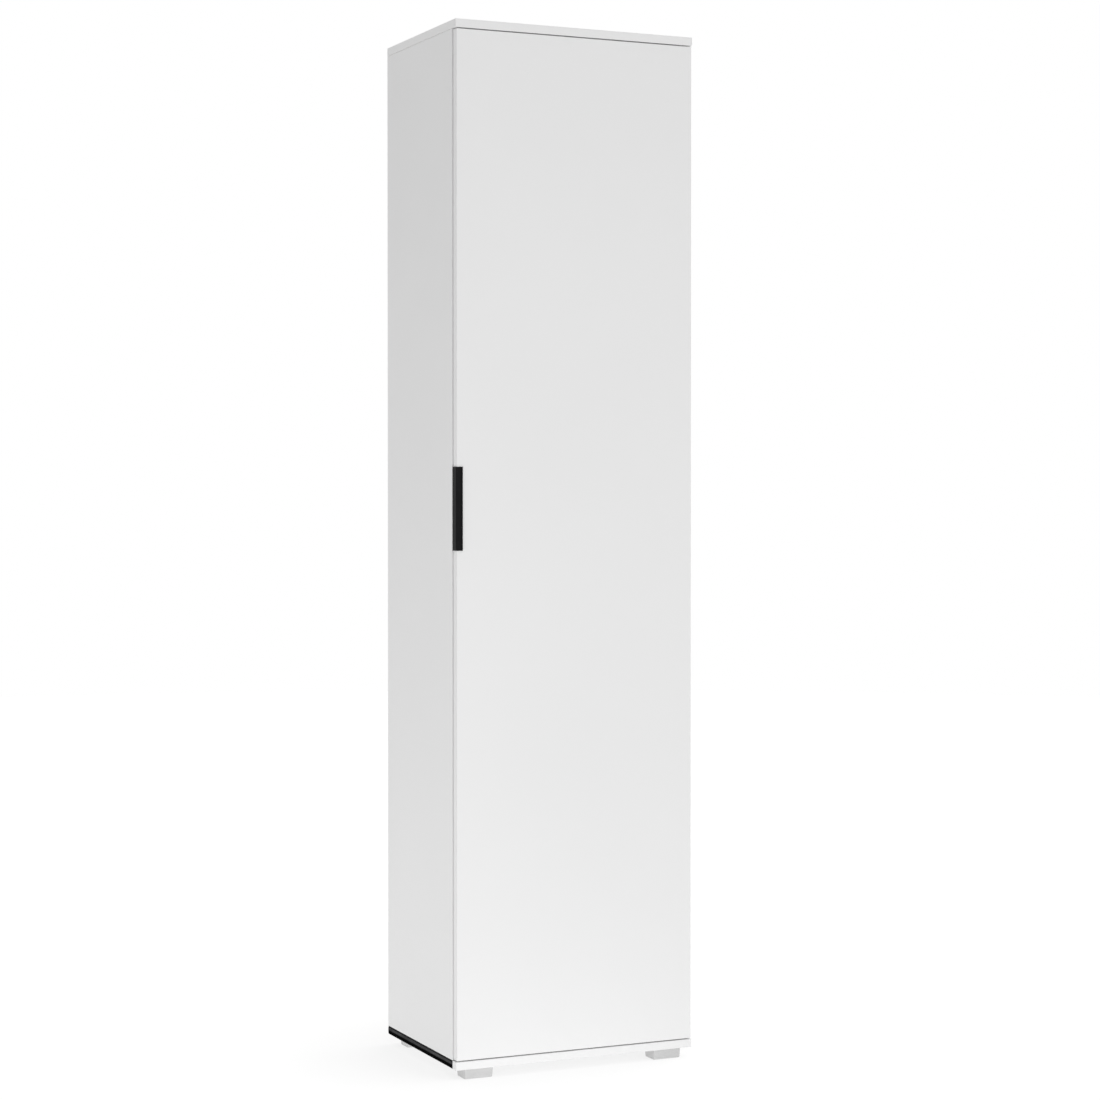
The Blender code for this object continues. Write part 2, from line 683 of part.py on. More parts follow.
def handle(pivot):
    """A bent profile that hooks round the door's free edge, with a bead to pull by at the front."""
    left = DOOR_LEFT - TOUCH - HANDLE_WALL
    front = DOOR_FRONT - TOUCH - HANDLE_WALL
    right = left + HANDLE_FRONT_LEG
    bead = (right - HANDLE_BEAD_RADIUS, DOOR_FRONT - TOUCH - HANDLE_BEAD_RADIUS)
    meet = math.degrees(math.asin((bead[1] - front) / HANDLE_BEAD_RADIUS))
    rear_corner = (DOOR_LEFT - TOUCH, DOOR_BACK + TOUCH)
    outline = arc((left + HANDLE_CORNER, front + HANDLE_CORNER), HANDLE_CORNER, 180, 270, 5)
    outline += arc(bead, HANDLE_BEAD_RADIUS, 180 + meet, 450, 12)
    outline += [(DOOR_LEFT - TOUCH, DOOR_FRONT - TOUCH), rear_corner]
    outline.append((left + HANDLE_REAR_LEG, DOOR_BACK + TOUCH))
    outline.append((left + HANDLE_REAR_LEG, DOOR_BACK + TOUCH + HANDLE_REAR_WALL))
    turn = (left + HANDLE_REAR_WALL, DOOR_BACK + TOUCH)
    outline += arc(turn, HANDLE_REAR_WALL, 90, 180, 4)
    low = HANDLE_CENTRE - HANDLE_LENGTH / 2
    high = HANDLE_CENTRE + HANDLE_LENGTH / 2

    def profile(bm):
        add_prism(bm, outline, low, high, "Z")

    def holes(bm):
        ends = (DOOR_BACK, DOOR_BACK + HANDLE_REAR_WALL + CUT_OVERRUN)
        for height in handle_screw_heights():
            across = DOOR_LEFT + HANDLE_SCREW_FROM_EDGE
            add_cylinder(bm, (across, height), SCREW_SHANK_RADIUS + SCREW_CLEARANCE, *ends, "Y", 16)

    place("door_handle", carved("door_handle", [profile], [holes]), BLACK_METAL, parent=pivot)
    for name, height in zip(("handle_screw_lower", "handle_screw_upper"), handle_screw_heights()):
        spot = (DOOR_LEFT + HANDLE_SCREW_FROM_EDGE, handle_screw_seat(), height)
        screw = place(name, screw_mesh(), NICKEL, spot, pivot)
        screw.rotation_euler = (math.pi / 2, 0, 0)


def wing_outline(low, high, end):
    """A hinge wing seen flat: from low to high across, to each end along, with its corners cut off."""
    cut_off = (high - low) / 4
    outline = [(low + cut_off, -end), (high - cut_off, -end), (high, -end + cut_off), (high, end - cut_off)]
    outline += [(high - cut_off, end), (low + cut_off, end), (low, end - cut_off), (low, -end + cut_off)]
    return outline


def cup_mesh():
    """The hinge cup: a shell in the door's bore, a flange with two wings, and the two link pins."""
    outer = CUP_BORE_RADIUS - TOUCH
    inner = outer - CUP_WALL
    floor = -CUP_BORE_DEPTH + TOUCH
    top = TOUCH + CUP_FLANGE

    def shell(bm):
        add_cylinder(bm, (0, 0), outer, floor, top - TOUCH, "Y", CUP_SIDES)

    def flange(bm):
        add_cylinder(bm, (0, 0), CUP_BORE_RADIUS + CUP_FLANGE_LAP, TOUCH, top, "Y", CUP_SIDES)

    def wings(bm):
        low, high = CUP_WING_OFFSET - CUP_WING_HALF_WIDTH, CUP_WING_OFFSET + CUP_WING_HALF_WIDTH
        outline = wing_outline(low, high, CUP_WING_SCREW + CUP_WING_END)
        add_prism(bm, outline, TOUCH + CUP_FLANGE * 0.1, top - CUP_FLANGE * 0.1, "Y")

    def wing_screws(bm):
        for side in (-1, 1):
            centre = (CUP_WING_OFFSET, side * CUP_WING_SCREW)
            add_cylinder(bm, centre, SCREW_HEAD_RADIUS, top - CUP_FLANGE / 2, top + CUP_FLANGE / 2, "Y", 16)

    def hollow(bm):
        add_cylinder(bm, (0, 0), inner, floor + CUP_WALL, top + CUT_OVERRUN, "Y", CUP_SIDES)

    def link_notch(bm):
        far = CUP_BORE_RADIUS + CUP_FLANGE_LAP + CUT_OVERRUN
        low = (CUP_NOTCH_FROM, -CUP_NOTCH_DEPTH, -CUP_NOTCH_HALF_HEIGHT)
        add_block(bm, low, (far, top + CUT_OVERRUN, CUP_NOTCH_HALF_HEIGHT))

    def pins(bm):
        for pin in (CUP_PIN_EDGE, CUP_PIN_INNER):
            half = math.sqrt((inner + CUP_WALL / 2) ** 2 - pin.x**2)
            add_cylinder(bm, pin, CUP_PIN_SHANK, -half, half, "Z", 10)

    shelled = carved("hinge_cup_shell", [shell, flange, wings, wing_screws], [hollow, link_notch])

    def from_shell(bm):
        bm.from_mesh(shelled)

    return carved("hinge_cup", [from_shell, pins], [])


def plate_mesh():
    """The mounting plate: a wing with two screws on the side panel, and a ridge for the arm."""
    seat = PANEL_FACE - TOUCH
    centre = CARCASS_FRONT - DOOR_BACK + PLATE_SETBACK

    def wing(bm):
        low, high = centre - PLATE_HALF_WIDTH, centre + PLATE_HALF_WIDTH
        outline = wing_outline(low, high, PLATE_SCREW + PLATE_END)
        add_prism(bm, outline, seat - PLATE_THICKNESS, seat, "X")

    def ridge(bm):
        half = RIDGE_HALF_WIDTH
        top = PANEL_FACE - RIDGE_HEIGHT
        low, high = centre - RIDGE_FRONT, centre + RIDGE_REAR
        slope = RIDGE_FRONT * 0.35
        outline = [(seat - TOUCH / 2, low - slope), (seat - TOUCH / 2, high), (top, high), (top, low)]
        add_prism(bm, outline, -half, half, "Z")

    def screws(bm):
        for side in (-1, 1):
            face = seat - PLATE_THICKNESS
            ends = (face - PLATE_THICKNESS * 0.8, face + PLATE_THICKNESS / 2)
            add_cylinder(bm, (centre, side * PLATE_SCREW), SCREW_HEAD_RADIUS, *ends, "X", 16)

    return carved("hinge_plate", [wing, ridge, screws], [])


def arm_mesh():
    """The hinge arm: a channel over the plate's ridge, narrowing to the nose that dips into the cup."""
    web = PANEL_FACE - RIDGE_HEIGHT - TOUCH - ARM_WALL
    inside = web + ARM_WALL
    tail = CARCASS_FRONT - DOOR_BACK + PLATE_SETBACK + ARM_TAIL
    edge = PANEL_FACE - ARM_PANEL_EDGE
    rear, nose = ARM_PIN_REAR, ARM_PIN_NOSE
    cheek = rear.x - 2 * EYE_RADIUS
    height = ARM_CHANNEL + ARM_WALL
    knee = (nose.x - EYE_RADIUS, ARM_KNEE)

    def body(bm):
        outline = [(web, tail), (edge, tail), (edge, rear.y + EYE_RADIUS * 2)]
        outline += [*arc(nose, EYE_RADIUS, 20, -180, 8), knee, (cheek, rear.y - EYE_RADIUS * 2.5)]
        outline += [(cheek, rear.y + EYE_RADIUS), (web, rear.y + 6 * EYE_RADIUS)]
        add_prism(bm, outline, -height, height, "Z")

    def channel(bm):
        wall = cheek + ARM_WALL
        outline = [(inside, tail + CUT_OVERRUN), (edge + CUT_OVERRUN, tail + CUT_OVERRUN)]
        outline += [(edge + CUT_OVERRUN, rear.y), (nose.x + 3 * EYE_RADIUS, nose.y - 3 * EYE_RADIUS)]
        outline += [(cheek - CUT_OVERRUN, nose.y - 3 * EYE_RADIUS)]
        outline += [(cheek - CUT_OVERRUN, rear.y - EYE_RADIUS * 2)]
        outline += [(wall, rear.y - EYE_RADIUS * 1.6), (wall, rear.y + EYE_RADIUS * 0.8)]
        outline += [(inside, rear.y + 5.8 * EYE_RADIUS)]
        add_prism(bm, outline, -ARM_CHANNEL, ARM_CHANNEL, "Z")

    def pins(bm):
        for pin in (rear, nose):
            add_cylinder(bm, pin, PIN_SHANK, -height - RIVET_END, height + RIVET_END, "Z", 12)

    def screws(bm):
        centre = CARCASS_FRONT - DOOR_BACK + PLATE_SETBACK
        for place_y in (centre + ARM_TAIL / 2, centre - ARM_TAIL / 5):
            ends = (web - ARM_WALL, web + ARM_WALL / 2)
            add_cylinder(bm, (place_y, 0), ARM_SCREW_RADIUS, *ends, "X", 16)

    channelled = carved("hinge_arm_channel", [body], [channel])

    def from_channel(bm):
        bm.from_mesh(channelled)

    return carved("hinge_arm", [from_channel, pins, screws], [])


def ribbon(start, end, half_width, bend_at=0.0, bend=0.0, steps=8):
    """The outline of a bar of even width along a quadratic curve from start to end."""
    run = (end - start).normalized()
    side = Vector((-run.y, run.x))
    middle = start + run * bend_at + side * bend if bend else (start + end) / 2
    left, right = [], []
    for i in range(steps + 1):
        t = i / steps
        point = start * (1 - t) ** 2 + middle * 2 * t * (1 - t) + end * t**2
        slope = ((middle - start) * (1 - t) + (end - middle) * t).normalized()
        across = Vector((-slope.y, slope.x)) * half_width
        left.append(tuple(point + across))
        right.append(tuple(point - across))
    return left + right[::-1]


def outer_link_mesh():
    """A bent fork from the arm's rear pin to the cup pin beside the door's edge, set at its rear pin."""
    start, end = Vector((0, 0)), CUP_PIN_EDGE - ARM_PIN_REAR
    height = OUTER_LINK_HALF_HEIGHT
    run = end.normalized()
    side = Vector((-run.y, run.x))

    def bar(bm):
        outline = ribbon(start, end, LINK_HALF_WIDTH, OUTER_LINK_BEND_AT, OUTER_LINK_BEND)
        add_prism(bm, outline, -height, height, "Z")

    def eyes(bm):
        add_cylinder(bm, start, EYE_RADIUS, -height - TOUCH / 2, height + TOUCH / 2, "Z", 16)
        add_cylinder(bm, end, OUTER_EYE_RADIUS, -height - TOUCH / 2, height + TOUCH / 2, "Z", 16)

    def slot(bm):
        low, far, wide = OUTER_LINK_SOLID, end.length + OUTER_LINK_SLOT_REACH, OUTER_LINK_SLOT_REACH
        corners = [(low, -wide), (far, -wide), (far, wide), (low, wide)]
        outline = [tuple(run * a + side * b) for a, b in corners]
        add_prism(bm, outline, -OUTER_LINK_SLOT, OUTER_LINK_SLOT, "Z")

    def bores(bm):
        reach = height + CUT_OVERRUN
        add_cylinder(bm, start, PIN_SHANK + RUNNING, -reach, reach, "Z", 12)
        add_cylinder(bm, end, CUP_PIN_SHANK + RUNNING, -reach, reach, "Z", 12)

    return carved("hinge_outer_link", [bar, eyes], [slot, bores])


def inner_link_mesh():
    """The short link from the arm's nose to the inner cup pin, set at its nose pin.

    Its cup eye is a slot, because the door and this link are both led by the outer link.
    """
    start, end = Vector((0, 0)), CUP_PIN_INNER - ARM_PIN_NOSE
    height = INNER_LINK_HALF_HEIGHT
    barrel = INNER_BARREL_HALF_HEIGHT

    def stadium(radius):
        upper = arc((end.x, end.y + OPEN_EYE_TRAVEL), radius, 0, 180, 10)
        return upper + arc((end.x, end.y - OPEN_EYE_TRAVEL), radius, 180, 360, 10)

    def bar(bm):
        add_prism(bm, ribbon(start, end, LINK_HALF_WIDTH), -height, height, "Z")

    def eyes(bm):
        add_cylinder(bm, start, EYE_RADIUS, -barrel, barrel, "Z", 16)
        add_prism(bm, stadium(OPEN_EYE_BORE + OPEN_EYE_WALL), -height - TOUCH / 2, height + TOUCH / 2, "Z")

    def bores(bm):
        reach = barrel + CUT_OVERRUN
        add_cylinder(bm, start, PIN_SHANK + RUNNING, -reach, reach, "Z", 12)
        add_prism(bm, stadium(OPEN_EYE_BORE), -reach, reach, "Z")

    return carved("hinge_inner_link", [bar, eyes], [bores])


def hinges(pivot):
    """Three hinges of five pieces each. The cups turn with the door, each link about its own arm pin."""
    meshes = [
        ("hinge_plate", plate_mesh(), ZINC, Vector((0, 0)), None),
        ("hinge_arm", arm_mesh(), NICKEL, Vector((0, 0)), None),
        ("hinge_cup", cup_mesh(), NICKEL, Vector((0, 0)), pivot),
        ("hinge_outer_link", outer_link_mesh(), ZINC, ARM_PIN_REAR, None),
        ("hinge_inner_link", inner_link_mesh(), ZINC, ARM_PIN_NOSE, None),
    ]
    for word, height in zip(("lower", "middle", "upper"), hinge_heights()):
        for name, mesh, spec, offset, parent in meshes:
            spot = (CUP_AXIS + offset.x, DOOR_BACK + offset.y, height)
            place(f"{name}_{word}", mesh, spec, spot, parent)


def build():
    clear_scene()
    side_panel("side_panel_left", -1)
    side_panel("side_panel_right", 1)
    top_panel()
    base_panels()
    base_strip("base_strip_left", -1)
    base_strip("base_strip_right", 1)
    shelves()
    shelf_pins()
    back()
    feet()
    anti_tip_bracket()
    bumpers()
    pivot = place("door_pivot", None, None, (CUP_AXIS + CUP_PIN_EDGE.x, DOOR_BACK + CUP_PIN_EDGE.y, 0))
    door(pivot)
    handle(pivot)
    hinges(pivot)
    bpy.context.view_layer.update()


build()
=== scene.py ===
"""Looks of the tall cupboard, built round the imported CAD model. Metres, +Z up, front towards -Y."""
import json
import math

import bmesh
import bpy
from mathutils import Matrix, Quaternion, Vector

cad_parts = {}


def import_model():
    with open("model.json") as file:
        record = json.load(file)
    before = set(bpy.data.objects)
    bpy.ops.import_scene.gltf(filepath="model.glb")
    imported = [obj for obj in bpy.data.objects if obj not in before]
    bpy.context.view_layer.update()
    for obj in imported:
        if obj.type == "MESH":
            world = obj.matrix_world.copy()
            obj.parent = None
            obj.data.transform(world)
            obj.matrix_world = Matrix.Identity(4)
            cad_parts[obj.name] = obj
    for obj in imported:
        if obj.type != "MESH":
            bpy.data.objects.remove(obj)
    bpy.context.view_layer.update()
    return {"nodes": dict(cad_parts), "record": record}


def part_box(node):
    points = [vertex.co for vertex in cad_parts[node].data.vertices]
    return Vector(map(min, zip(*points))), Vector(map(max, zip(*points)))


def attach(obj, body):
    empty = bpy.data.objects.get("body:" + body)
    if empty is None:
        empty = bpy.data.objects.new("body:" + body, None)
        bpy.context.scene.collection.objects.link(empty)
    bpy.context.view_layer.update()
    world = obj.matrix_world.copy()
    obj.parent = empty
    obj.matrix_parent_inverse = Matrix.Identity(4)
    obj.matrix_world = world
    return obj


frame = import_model()

# Camera: the photograph's view, fitted on the cupboard's edges and its pull.
PICTURE = 1100
FOCAL_PIXELS = 2536.1
SENSOR = 36.0
CAMERA_PLACE = (-2.0563, -4.5952, 1.1186)
CAMERA_YAW = 24.380
CAMERA_DOWN = 0.892
CAMERA_SHIFT = -0.02
CLIP_NEAR = 0.1
CLIP_FAR = 100.0

# Colours, linear.
WHITE = (1.0, 1.0, 1.0)
MELAMINE = (0.845, 0.845, 0.845)
EDGE_BAND = (0.850, 0.850, 0.850)
EDGE_JOINT = (0.70, 0.70, 0.695)
HARDBOARD_FACE = (0.82, 0.82, 0.818)
HARDBOARD_REAR = (0.40, 0.28, 0.18)
# Black strip: the upper grey is painted sheen and also colours its faint lines and worn edges, the lower
# black is painted shade, and the lightest grey is a painted highlight line.
STRIP_SHEEN_AND_LINES = (0.023, 0.023, 0.024)
STRIP_SHADED_BLACK = (0.002, 0.002, 0.002)
STRIP_HIGHLIGHT = (0.090, 0.090, 0.092)
BLACK_PLASTIC = (0.012, 0.012, 0.013)
BLACK_COAT = (0.010, 0.010, 0.0105)
# Dark of the cross recesses, which is painted shade rather than the screws' own colour.
RECESS_SHADE = (0.05, 0.05, 0.052)
GREY_PLASTIC = (0.56, 0.56, 0.56)
NICKEL = (0.70, 0.68, 0.64)
ZINC = (0.62, 0.63, 0.65)
RUBBER = (0.72, 0.72, 0.70)

# Boards: thickness of the edge band, width and strength of the line where it meets the face, and the radius
# over which the edges are shaded round.
BAND = 0.0006
JOINT_WIDTH = 0.00022
JOINT_STRENGTH = 0.25
EDGE_ROUND = 0.0010

# Most of a noise's values lie between these.
NOISE_LOW = 0.3
NOISE_HIGH = 0.7

# Edges of small pieces that are sharper than this, in degrees, stay sharp.
SHARP_ANGLE = 40

# Black strip, as shares of its height: where the painted shade of the lower part gives way to the painted
# sheen of the upper one, and the place of the painted highlight line with its half width in metres.
STRIP_TURN_START = 0.40
STRIP_TURN_END = 0.55
STRIP_HIGHLIGHT_AT = 0.66
STRIP_HIGHLIGHT_HALF = 0.0030

# Cross recesses: depth and height about the screw head, reach and half width of the arms as shares of its
# radius, and taper. Then the heads' radii, and their places on the hinges.
DRIVE_SINK = 0.0001
DRIVE_RISE = 0.00006
DRIVE_REACH = 0.62
DRIVE_HALF = 0.13
DRIVE_TAPER = 0.97
SCREW_HEAD = 0.0033
SMALL_HEAD = 0.9 * SCREW_HEAD
ARM_SCREW_HEAD = 0.0032
PLATE_HEAD_FACE = 0.2301
PLATE_SCREW_DEPTH = -0.125
PLATE_SCREW_STEP = 0.016
CUP_SCREW_ACROSS = 0.2165
CUP_SCREW_STEP = 0.024
ARM_HEAD_FACE = 0.2103
ARM_SCREW_REAR = -0.114
ARM_SCREW_FRONT = -0.1294

# Cam fittings: height of the rim over the board, outline as radius and share of that height, size of the
# cross recess and its share of the height, distances to joint, front and rear, turn from one to the next.
CAM_RISE = 0.0004
CAM_OUTLINE = ((0, -1), (0.0075, -1), (0.0075, 0.5), (0.0071, 1), (0.0062, 1), (0.0058, 0.45),
               (0.0030, 0.45), (0.0026, 0.8), (0, 0.8))
CAM_SIDES = 40
CAM_DRIVE = 0.0048
CAM_DRIVE_RISE = 0.82
CAM_FROM_JOINT = 0.034
CAM_FROM_FRONT = 0.050
CAM_FROM_REAR = 0.070
CAM_TURN = 37

# Light: the world's level on the object, and each lamp's name, place, aim, size and power.
WORLD_LEVEL = 0.540
LAMPS = (
    ("key", (3.0, -6.0, 1.6), (0.0, 0.0, 0.9), (3.0, 3.0), 112.0),
    ("low_front", (-1.7, -3.0, 0.6), (0.0, 0.0, 0.7), (2.0, 0.8), 13.0),
)

# Floor as it is seen: grey of its own, glow in the open and in the cupboard's painted shadow, and how far
# and towards which side that painted shadow reaches.
FLOOR_RADIUS = 9.0
FLOOR_SIDES = 96
FLOOR_SHADE = (0.10, 0.10, 0.10)
FLOOR_GLOW = 0.972
FLOOR_GLOW_IN_SHADOW = 0.78
FLOOR_SHADOW_REACH = 0.35
FLOOR_SHADOW_LEAN = (0.7, -0.2, 1.0)

# Floor as it lights the cupboard: its white, and the soft patch of light on the left, with its place and
# reach.
FLOOR_BOUNCE = (0.72, 0.72, 0.72)
FLOOR_LIGHT = 0.91
FLOOR_LIGHT_PLACE = (-1.6, 0.4, 0.0)
FLOOR_LIGHT_REACH = 3.8


def scaled(colour, share, lift=0.0):
    """The colour times a share, plus a lift, no brighter than white."""
    return tuple(min(1.0, c * share + lift) for c in colour)


def feed(tree, socket, value):
    """Links an output to the input socket, or sets the socket's own value."""
    if isinstance(value, bpy.types.NodeSocket):
        tree.links.new(value, socket)
    elif hasattr(socket.default_value, "__len__") and len(value) == 3 and len(socket.default_value) == 4:
        socket.default_value = (*value, 1.0)
    else:
        socket.default_value = value


def add_node(tree, kind, inputs=(), **settings):
    """Adds one node. The inputs are keyed by their name or number."""
    node = tree.nodes.new("ShaderNode" + kind)
    for key, value in settings.items():
        setattr(node, key, value)
    for key, value in dict(inputs).items():
        feed(tree, node.inputs[key], value)
    return node


class Shader:
    """A node material. Each method adds one or more nodes and gives back an output socket."""

    def __init__(self, name):
        self.material = bpy.data.materials.new(name)
        self.material.use_nodes = True
        self.tree = self.material.node_tree
        self.surface = self.tree.nodes["Principled BSDF"]
        self.coordinates = self.tree.nodes.new("ShaderNodeTexCoord")

    def add(self, kind, inputs=(), output=0, **settings):
        return add_node(self.tree, kind, inputs, **settings).outputs[output]

    def set(self, **values):
        """Feeds the surface shader's sockets. An underscore in a key stands for a space."""
        for key, value in values.items():
            feed(self.tree, self.surface.inputs[key.replace("_", " ")], value)

    def place(self):
        return self.coordinates.outputs["Object"]

    def along(self, axis, source="Object"):
        """One axis of the place, or of the normal."""
        return self.add("SeparateXYZ", {0: self.coordinates.outputs[source]}, output=axis)

    def facing(self, axis):
        """1 on the faces that look along the axis, either way, and 0 on the rest."""
        return self.ramp(self.maths("ABSOLUTE", self.along(axis, "Normal")), low=0.80, high=0.95)

    def stretched(self, scale):
        return self.add("Mapping", {"Vector": self.place(), "Scale": scale}) if scale else self.place()

    def noise(self, scale, detail=2.0, rough=0.5, stretch=None):
        inputs = {"Vector": self.stretched(stretch), "Scale": scale, "Detail": detail, "Roughness": rough}
        return self.add("TexNoise", inputs)

    def cells(self, scale, feature="F1", stretch=None):
        inputs = {"Vector": self.stretched(stretch), "Scale": scale}
        return self.add("TexVoronoi", inputs, output="Distance", feature=feature)

    def ramp(self, value, low, high, to_low=0.0, to_high=1.0):
        return self.add("MapRange", {"Value": value, "From Min": low, "From Max": high,
                                     "To Min": to_low, "To Max": to_high})

    def cloud(self, scale, detail=2.0, rough=0.5, low=0.0, high=1.0):
        """Soft patches between two values."""
        return self.ramp(self.noise(scale, detail, rough), NOISE_LOW, NOISE_HIGH, low, high)

    def maths(self, operation, a, b=0.0):
        return self.add("Math", {0: a, 1: b}, operation=operation)

    def mix(self, share, a, b):
        node = self.tree.nodes.new("ShaderNodeMix")
        node.data_type = "RGBA"
        for key, value in (("Factor", share), ("A", a), ("B", b)):
            feed(self.tree, next(s for s in node.inputs if s.name == key and s.enabled), value)
        return next(s for s in node.outputs if s.enabled)

    def mix_part(self, share, a, b, part):
        """Mixes by no more than a part of the share."""
        return self.mix(self.maths("MULTIPLY", share, part), a, b)

    def bump(self, height, strength, distance, below=None):
        inputs = {"Height": height, "Strength": strength, "Distance": distance}
        if below is not None:
            inputs["Normal"] = below
        return self.add("Bump", inputs)

    def softened(self, radius, samples=4):
        """A normal that turns over the edges as if they were rounded."""
        return self.add("Bevel", {"Radius": radius}, samples=samples)

    def edges(self, radius, round_normal=None):
        """1 where a face bends away within the radius, 0 on flat ground."""
        round_normal = round_normal or self.softened(radius)
        sharp = self.add("NewGeometry", output="Normal")
        agree = self.add("VectorMath", {0: round_normal, 1: sharp}, output="Value", operation="DOT_PRODUCT")
        return self.ramp(agree, low=0.995, high=0.86)

    def rubbed(self, roughness, worn, by):
        """The roughness, smoother where the edges are worn."""
        return self.maths("SUBTRACT", roughness, self.maths("MULTIPLY", worn, by))

    def line_at(self, axis, where, width):
        """1 on a thin line across the axis at a place, 0 elsewhere."""
        away = self.maths("ABSOLUTE", self.maths("SUBTRACT", self.along(axis), where))
        return self.ramp(away, low=width, high=width * 0.5)


def board_material(node):
    """White melamine board with banded edges, cut to one node's box."""
    low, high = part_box(node)
    size = high - low
    thin = min(range(3), key=lambda k: size[k])
    shader = Shader("melamine_" + node)
    face = shader.mix(shader.cloud(scale=2.3, detail=3.0), scaled(MELAMINE, 0.990), scaled(MELAMINE, 1.008))
    joint = None
    for axis in range(3):
        if axis == thin:
            continue
        for where in (low[axis] + BAND, high[axis] - BAND):
            here = shader.line_at(axis, where, JOINT_WIDTH)
            joint = here if joint is None else shader.maths("MAXIMUM", joint, here)
    face = shader.mix_part(joint, face, EDGE_JOINT, part=JOINT_STRENGTH)
    colour = shader.mix(shader.facing(thin), EDGE_BAND, face)
    pearl = shader.noise(scale=760.0, detail=1.0)
    rounded = shader.softened(EDGE_ROUND, samples=6)
    satin = shader.cloud(scale=9.0, rough=0.6, low=0.40, high=0.47)
    shader.set(Base_Color=colour, Roughness=shader.rubbed(satin, shader.edges(EDGE_ROUND, rounded), by=0.10),
               Normal=shader.bump(pearl, strength=0.25, distance=0.00008, below=rounded))
    return shader.material


def hardboard_material():
    """Thin back board, white lacquer towards the room and bare pressed fibre behind."""
    shader = Shader("hardboard")
    rear = shader.ramp(shader.along(1, "Normal"), low=0.2, high=0.8)
    patches = shader.cloud(scale=3.0, detail=4.0, rough=0.6)
    lacquer = shader.mix(patches, scaled(HARDBOARD_FACE, 0.985), HARDBOARD_FACE)
    fibre = shader.ramp(shader.noise(scale=420.0, detail=6.0, rough=0.7), low=0.35, high=0.65)
    away = shader.ramp(shader.cells(scale=300.0, stretch=(1.0, 1.0, 0.35)), low=0.05, high=0.35)
    bare = shader.mix(fibre, scaled(HARDBOARD_REAR, 0.86), scaled(HARDBOARD_REAR, 1.10))
    fleck = shader.maths("SUBTRACT", 1.0, away)
    bare = shader.mix_part(fleck, bare, scaled(HARDBOARD_REAR, 0.62), part=0.35)
    satin = shader.ramp(fibre, low=0.0, high=1.0, to_low=0.40, to_high=0.48)
    roughness = shader.maths("ADD", shader.maths("MULTIPLY", rear, 0.30), satin)
    shader.set(Base_Color=shader.mix(rear, lacquer, bare), Roughness=roughness,
               Normal=shader.bump(fibre, strength=0.30, distance=0.00010))
    return shader.material


def plastic_material(name, colour, roughness, grain, grain_height, wear):
    """Moulded or extruded plastic with a spark-eroded grain and edges rubbed smooth."""
    shader = Shader(name)
    worn = shader.edges(radius=0.0006)
    patches = shader.cloud(scale=14.0, detail=4.0, rough=0.6)
    base = shader.mix(patches, scaled(colour, 0.96), scaled(colour, 1.04))
    base = shader.mix_part(worn, base, scaled(colour, 1.25, lift=0.01), part=wear)
    satin = shader.cloud(scale=60.0, detail=3.0, rough=0.6, low=roughness - 0.04, high=roughness + 0.05)
    height = shader.cells(grain, feature="SMOOTH_F1")
    shader.set(Base_Color=base, Roughness=shader.rubbed(satin, worn, by=0.08),
               Normal=shader.bump(height, strength=0.3, distance=grain_height))
    return shader.material


def strip_material(node):
    """Extruded black strip with lines along it: painted sheen above, painted shade below, a painted
    highlight.
    """
    low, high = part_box(node)
    tall = high.z - low.z
    shader = Shader("strip_" + node)
    # The upper share is painted sheen over the lower painted shade, and the thin line with its patches is a
    # painted highlight. The strip itself reflects nothing.
    upper = shader.ramp(shader.along(2), low.z + STRIP_TURN_START * tall, low.z + STRIP_TURN_END * tall)
    lines = shader.noise(scale=700.0, detail=3.0, rough=0.6, stretch=(1.0, 0.02, 1.0))
    patches = shader.ramp(shader.noise(scale=16.0), low=0.35, high=0.65, to_low=0.25)
    highlight_line = shader.line_at(2, low.z + STRIP_HIGHLIGHT_AT * tall, STRIP_HIGHLIGHT_HALF)
    painted_highlight = shader.maths("MULTIPLY", highlight_line, patches)
    base = shader.mix(painted_highlight, shader.mix(upper, STRIP_SHADED_BLACK, STRIP_SHEEN_AND_LINES), STRIP_HIGHLIGHT)
    base = shader.mix(shader.ramp(lines, low=0.35, high=0.75, to_high=0.20), base, STRIP_SHEEN_AND_LINES)
    base = shader.mix_part(shader.edges(radius=0.0005), base, scaled(STRIP_SHEEN_AND_LINES, 2.0), part=0.4)
    satin = shader.cloud(scale=60.0, detail=3.0, rough=0.6, low=0.38, high=0.46)
    shader.set(Base_Color=base, Roughness=satin, Specular_IOR_Level=0.0,
               Normal=shader.bump(lines, strength=0.2, distance=0.00004))
    return shader.material


def recess_shade_material():
    """Painted shade for the inside of a cross recess: a dark metal on the thin inlay."""
    shader = Shader("painted_recess_shade")
    shader.set(Base_Color=shader.mix(shader.cloud(scale=900.0), scaled(RECESS_SHADE, 0.6), RECESS_SHADE), Metallic=1.0,
               Roughness=shader.cloud(scale=1500.0, low=0.5, high=0.6))
    return shader.material


def metal_material(name, colour, roughness, stretch):
    """Plated steel with fine drawing lines along one direction and rubbed edges."""
    shader = Shader(name)
    lines = shader.noise(scale=900.0, detail=4.0, rough=0.7, stretch=stretch)
    base = shader.mix(shader.cloud(scale=55.0, detail=3.0, rough=0.6), scaled(colour, 0.93), colour)
    base = shader.mix_part(shader.edges(radius=0.0003), base, scaled(colour, 1.18), part=0.5)
    drawn = shader.ramp(lines, NOISE_LOW, NOISE_HIGH, to_low=roughness - 0.06, to_high=roughness + 0.08)
    shader.set(Base_Color=base, Metallic=1.0, Roughness=drawn,
               Normal=shader.bump(lines, strength=0.12, distance=0.00003))
    return shader.material


